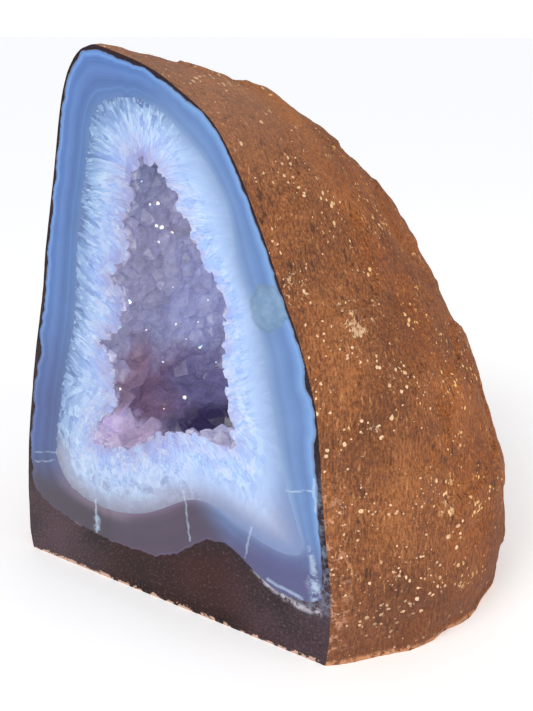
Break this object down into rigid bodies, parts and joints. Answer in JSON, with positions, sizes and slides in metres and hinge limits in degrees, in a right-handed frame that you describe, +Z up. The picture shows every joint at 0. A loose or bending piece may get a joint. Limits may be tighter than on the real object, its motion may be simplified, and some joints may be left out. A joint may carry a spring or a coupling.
{
  "type": "geode half",
  "caption": "Geode half with a sawn, polished front and a flat sawn base: brown rock skin, banded blue agate lining and a hollow lined with pale amethyst crystals.",
  "frame": {"origin": "middle of the bounding box's underside, on the plane that the sawn base rests on", "axes": "+X to the right along the sawn face as a viewer in front sees it, +Y from the sawn face back into the rock, +Z up"},
  "size_m": [0.1671, 0.1309, 0.1673],
  "materials": {
    "rock": "rough brown skin, with the sawn front polished nearly black",
    "agate": "polished, translucent, banded blue",
    "crystal": "glassy crystal faces, polished where the saw cut them"
  },
  "bodies": {
    "root": {"rock_matrix": "rock", "agate_lining": "agate", "crystal_crust": "crystal"}
  },
  "joints": []
}
